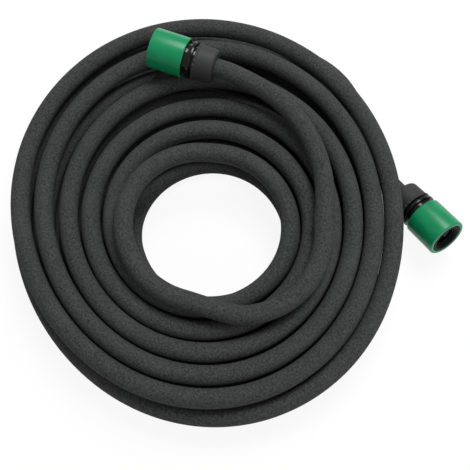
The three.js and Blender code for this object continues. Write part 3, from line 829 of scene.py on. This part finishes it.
nut_nylon = nut_finish()
for side in SIDES:
    nut_bm = turned_piece([(NUT_BORE, NUT_FRONT), (NUT_RADIUS, NUT_FRONT),
                           (NUT_RADIUS + NUT_RIM, NUT_FRONT + NUT_RIM),
                           (NUT_RADIUS + NUT_RIM, NUT_FRONT + NUT_RIM_WIDTH - NUT_RIM),
                           (NUT_RADIUS, NUT_FRONT + NUT_RIM_WIDTH),
                           *round_edge(NUT_END_RADIUS - NUT_END_EDGE, NUT_END - NUT_END_EDGE,
                                       NUT_END_EDGE, 0),
                           (NUT_HOSE_BORE, NUT_END), (NUT_HOSE_BORE, CONE_END + RUNNING_FIT),
                           (CONE_END_RADIUS, CONE_END), (NUT_BORE, CONE_FRONT)],
                          steps=NOTCH_STEPS * NUT_NOTCHES, edge=NUT_EDGE,
                          sharp=ROUNDED_CORNER)
    notch_rim(nut_bm)
    nut = settled_piece(nut_bm, f"{side}_nut_shell", connector_place(side), nut_nylon)
    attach(nut, f"{side}_nut")
    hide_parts(f"{side}_hose_nut")


# ---------- Floor, backdrop and light ----------
# A plain white sheet under soft studio light from above and behind, with a weak one from the
# right. The sheet shows white to the eye, with a faint shadow round the coil, and has a
# painted shadow: its colour is painted dark under the coil's turns, where shade falls.

FLOOR_RADIUS = 4.0
FLOOR_SIDES = 120
FLOOR_PALENESS = 0.9
OPEN_FLOOR = (0.93, 0.93, 0.93, 1)
# Painted shadow: the floor's own colour is set this dark under the coil's turns.
PAINTED_SHADOW_COLOUR = (0.08, 0.08, 0.08, 1)
SHADOW_REACH = 0.02
SHADOW_FADE = 0.04
BESIDE_ANGLE = 4
SKY_STRENGTH = 0.42
LIGHT_AIM = (0, 0, 0.04)


def shadow_edges(angle):
    """Where the painted shadow under the coil starts, begins to fade and ends at an angle.

    Each is a share of the way from the eye to the outermost turn. The shadow follows the
    bottom layer, and fades out under the turns of the layers above it.
    """
    bottom_layer_end = COIL_START_ANGLE + 360 * TURNS_PER_LAYER
    top_layer_start = COIL_START_ANGLE + 720 * TURNS_PER_LAYER
    inside = (bottom_layer_end - angle) % 360
    outside = (angle - COIL_START_ANGLE) % 360
    above = min((angle - top_layer_start) % 360, (top_layer_start - angle) % 360)
    if LOWER_STRETCH[-1][0] < angle < COIL_START_ANGLE:
        outside = min(outside, above)
    beside = [share for place, share, _ in LOWER_STRETCH if abs(place - angle) < BESIDE_ANGLE]
    outer_edges = [max([1 - turned / 360 / TURNS_PER_LAYER + SHADOW_REACH, *beside])
                   for turned in (outside, min(outside, above))]
    return inside / 360 / TURNS_PER_LAYER + SHADOW_REACH, *outer_edges


def floor_finish():
    """White sheet that looks evenly pale, with a painted shadow: dark colour under the coil."""
    finish, tree, shader = new_finish("floor_sheet")
    # Painted shadow: an attribute marks where the floor's colour is painted dark under the
    # coil.
    painted_shadow = tree.nodes.new("ShaderNodeAttribute")
    painted_shadow.attribute_name = "painted_shadow_under_coil"
    open_floor = worked_out(tree, "SUBTRACT", 1, painted_shadow.outputs["Fac"])
    feed(tree, shader.inputs["Base Color"],
         mixed_colour(tree, open_floor, PAINTED_SHADOW_COLOUR, OPEN_FLOOR))
    shader.inputs["Roughness"].default_value = 0.9
    shader.inputs["Specular IOR Level"].default_value = 0.1
    ray = tree.nodes.new("ShaderNodeLightPath")
    seen = worked_out(tree, "MAXIMUM", ray.outputs["Is Camera Ray"],
                      ray.outputs["Is Glossy Ray"])
    pale = worked_out(tree, "MULTIPLY", seen, FLOOR_PALENESS)
    white = tree.nodes.new("ShaderNodeEmission")
    sheet = tree.nodes.new("ShaderNodeMixShader")
    # The white glow is left off where the shadow is painted, so it stays dark.
    feed(tree, sheet.inputs["Fac"], worked_out(tree, "MULTIPLY", pale, open_floor))
    feed(tree, sheet.inputs[1], shader.outputs["BSDF"])
    feed(tree, sheet.inputs[2], white.outputs["Emission"])
    feed(tree, tree.nodes["Material Output"].inputs["Surface"], sheet.outputs["Shader"])
    return finish


# The floor is a disc in rings, at the edges of the painted shadow, of its fade and at its own
# rim.
floor_bm = bmesh.new()
painted_shadow_under_coil = floor_bm.verts.layers.float.new("painted_shadow_under_coil")
rings = []
for edge, fade in ((0, -SHADOW_FADE), (0, 0), (1, 0), (2, SHADOW_FADE), (None, None)):
    ring = bmesh.ops.create_circle(floor_bm, segments=FLOOR_SIDES, radius=FLOOR_RADIUS)["verts"]
    for index, corner in enumerate(ring):
        angle = 360 * index / FLOOR_SIDES
        if edge is None:
            corner.co = FLOOR_RADIUS * (round_coil(angle, 1, 0) - COIL_CENTRE)
        else:
            corner.co = stretch_point(angle, shadow_edges(angle)[edge] + fade, 0) * MM
            # Painted shadow: full where the floor is painted dark under the coil, none at the
            # fade's far edge.
            corner[painted_shadow_under_coil] = fade == 0
    rings.append(list(dict.fromkeys(line for corner in ring for line in corner.link_edges)))
bmesh.ops.contextual_create(floor_bm, geom=rings[0])
for near, far in zip(rings, rings[1:]):
    bmesh.ops.bridge_loops(floor_bm, edges=near + far)
bmesh.ops.recalc_face_normals(floor_bm, faces=floor_bm.faces)
floor_mesh = bpy.data.meshes.new("floor")
floor_bm.to_mesh(floor_mesh)
floor_bm.free()
floor = bpy.data.objects.new("floor", floor_mesh)
bpy.context.scene.collection.objects.link(floor)
floor_mesh.materials.append(floor_finish())

world = bpy.data.worlds.new("studio")
world.use_nodes = True
bpy.context.scene.world = world
sky = world.node_tree.nodes["Background"]
sky.inputs["Color"].default_value = (1, 1, 1, 1)
sky.inputs["Strength"].default_value = SKY_STRENGTH


def softbox(name, place, size, power):
    """A square soft light that points at the middle of the coil."""
    light = bpy.data.lights.new(name, "AREA")
    light.shape = "SQUARE"
    light.size = size
    light.energy = power
    lamp = bpy.data.objects.new(name, light)
    lamp.location = place
    lamp.rotation_euler = (Vector(place) - Vector(LIGHT_AIM)).to_track_quat("Z", "Y").to_euler()
    bpy.context.scene.collection.objects.link(lamp)


softbox("key", (-0.28, 0.78, 1.43), size=0.8, power=24)
softbox("fill", (1.6, 0, 0.58), size=1.0, power=6)

bpy.context.scene.view_settings.view_transform = "Standard"
